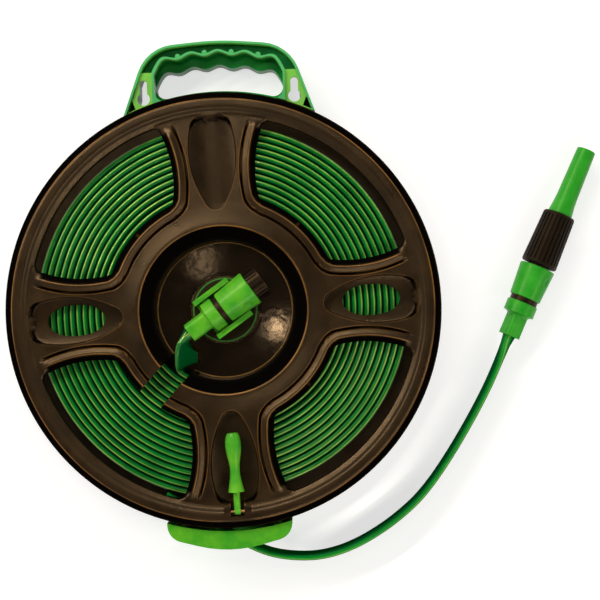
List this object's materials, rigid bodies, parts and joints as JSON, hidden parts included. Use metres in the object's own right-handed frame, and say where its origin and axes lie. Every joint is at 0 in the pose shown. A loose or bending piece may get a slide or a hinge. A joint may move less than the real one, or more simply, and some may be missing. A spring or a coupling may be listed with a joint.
{
  "type": "flat hose reel",
  "caption": "Flat garden hose reel with a carrying handle, fold-out crank, inner hose connector and a free end with a spray nozzle.",
  "frame": {"origin": "centre of the axle on the back plane, where the frame lies on a surface or against a wall", "axes": "+Z along the axle to the front, +Y to the carrying handle, +X to the side where the hose leaves"},
  "size_m": [0.553, 0.4878, 0.0651],
  "materials": {
    "frame_green": "mid-green moulded plastic",
    "fitting_green": "bright green moulded plastic, satin to glossy",
    "flange_brown": "dark brown-black moulded plastic, satin",
    "disc_black": "glossy black moulded plastic",
    "body_black": "black moulded plastic",
    "hose_green": "green flat hose, smooth and slightly translucent",
    "sleeve_rubber": "black ribbed grip",
    "seal_rubber": "black seal",
    "claw_ivory": "ivory moulded plastic",
    "steel": "zinc-plated steel"
  },
  "bodies": {
    "frame": {"frame": "frame_green", "foot_guide": "fitting_green", "foot_screws": "steel", "axle_tube": "frame_green", "axle_screws": "steel", "axle_cap": "flange_brown", "retaining_ring": "steel", "hose_free_end": "hose_green", "end_nut": "fitting_green", "end_body": "body_black", "end_claws": "claw_ivory", "end_spring": "steel", "nozzle_body": "body_black", "nozzle_oring": "seal_rubber"},
    "reel": {"rear_flange": "flange_brown", "flange_screws": "steel", "drum_core": "flange_brown", "hub_disc": "disc_black", "front_flange": "flange_brown", "hub_clip": "fitting_green", "clip_screws": "steel", "crank_pin": "steel", "hose_winding": "hose_green", "hose_inner_lead": "hose_green", "hub_nut": "fitting_green", "hub_body": "body_black", "hub_claws": "claw_ivory", "hub_spring": "steel", "tap_adapter": "body_black", "tap_seal": "seal_rubber", "tap_washer": "seal_rubber"},
    "crank": {"crank_arm": "fitting_green"},
    "crank_knob": {"crank_grip": "fitting_green"},
    "hub_release": {"hub_collar": "fitting_green"},
    "end_release": {"end_collar": "fitting_green"},
    "seal_carriage": {"barrel_seal": "seal_rubber"},
    "spray_head": {"nozzle_sleeve": "sleeve_rubber", "spray_barrel": "fitting_green"}
  },
  "joints": [
    {"name": "reel_spin", "type": "hinge", "parent": "frame", "child": "reel", "pos_m": [0, 0, 0.014], "axis": [0, 0, 1], "continuous": true},
    {"name": "crank_fold", "type": "hinge", "parent": "reel", "child": "crank", "pos_m": [0.00805, -0.18442, 0.0567], "axis": [0.999, 0.0436, 0], "range_deg": [0, 90]},
    {"name": "crank_knob_spin", "type": "hinge", "parent": "crank", "child": "crank_knob", "pos_m": [0.00805, -0.18442, 0.0567], "axis": [-0.0436, 0.999, 0], "continuous": true},
    {"name": "hub_collar_slide", "type": "slide", "parent": "reel", "child": "hub_release", "axis": [-0.8192, -0.5736, 0], "range_m": [0, 0.0038], "stiffness_N_per_m": 1500, "springref_m": -0.004, "deforming": ["hub_spring"]},
    {"name": "end_collar_slide", "type": "slide", "parent": "frame", "child": "end_release", "axis": [-0.4115, -0.9114, 0], "range_m": [0, 0.0038], "stiffness_N_per_m": 1500, "springref_m": -0.004, "deforming": ["end_spring"]},
    {"name": "barrel_travel", "type": "slide", "parent": "frame", "child": "seal_carriage", "axis": [0.4115, 0.9114, 0], "range_m": [0, 0.0091]},
    {"name": "nozzle_twist", "type": "hinge", "parent": "seal_carriage", "child": "spray_head", "pos_m": [0.29581, 0.0318, 0.0171], "axis": [0.4115, 0.9114, 0], "range_deg": [0, 540]}
  ],
  "couplings": [
    {"joint": "barrel_travel", "follows": "nozzle_twist", "m_per_rad": 0.00095493}
  ]
}
